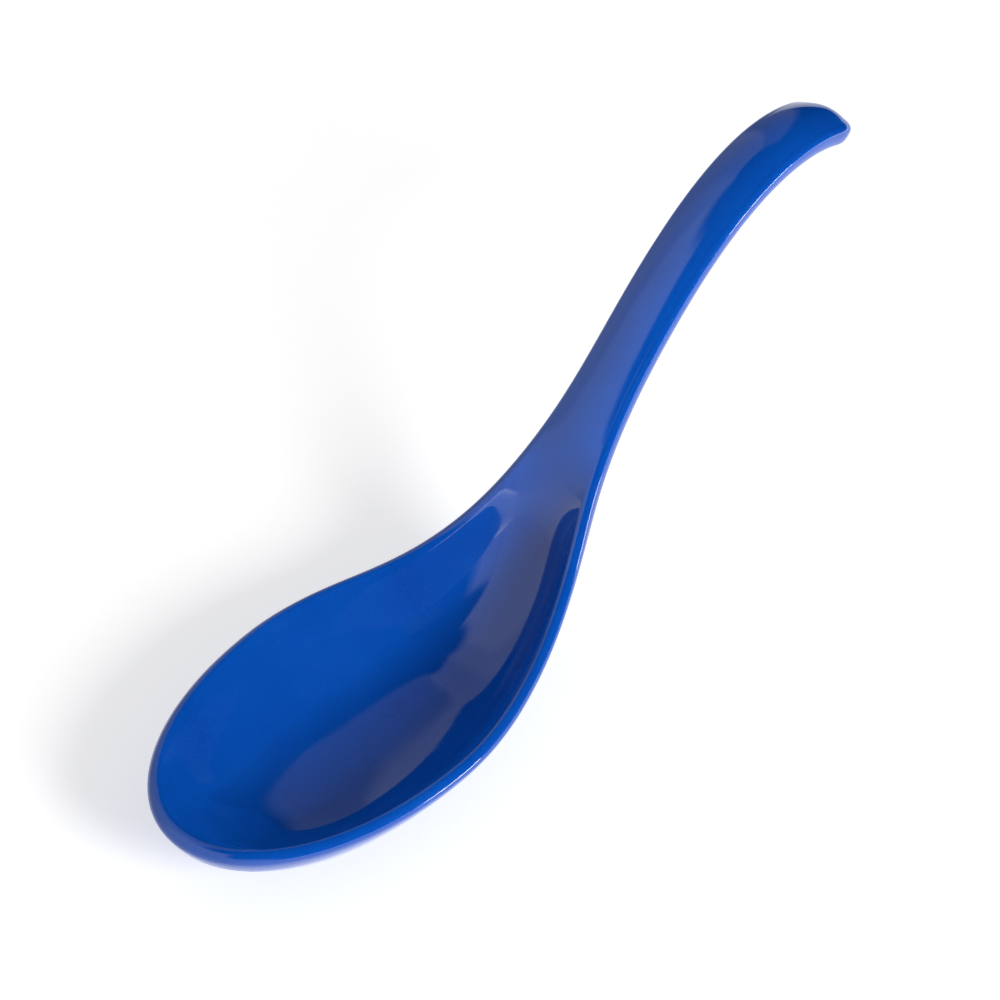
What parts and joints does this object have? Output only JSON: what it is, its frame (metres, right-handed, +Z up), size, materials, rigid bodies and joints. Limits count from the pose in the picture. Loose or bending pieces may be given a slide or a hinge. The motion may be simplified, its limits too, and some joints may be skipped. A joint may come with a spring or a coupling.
{
  "type": "soup spoon",
  "caption": "One-piece moulded soup spoon: deep oval bowl with a thick rounded lip and flat foot, flaring neck, and a narrow crowned handle that rises and curls over at its tip.",
  "frame": {"origin": "on the table surface, under the middle of the bowl's flat foot", "axes": "+X from the bowl's tip to the handle's tip, +Y to the left seen from the bowl's tip, +Z up out of the bowl"},
  "size_m": [0.1634, 0.0478, 0.0678],
  "materials": {
    "melamine": "gloss"
  },
  "bodies": {
    "root": {"spoon": "melamine"}
  },
  "joints": []
}
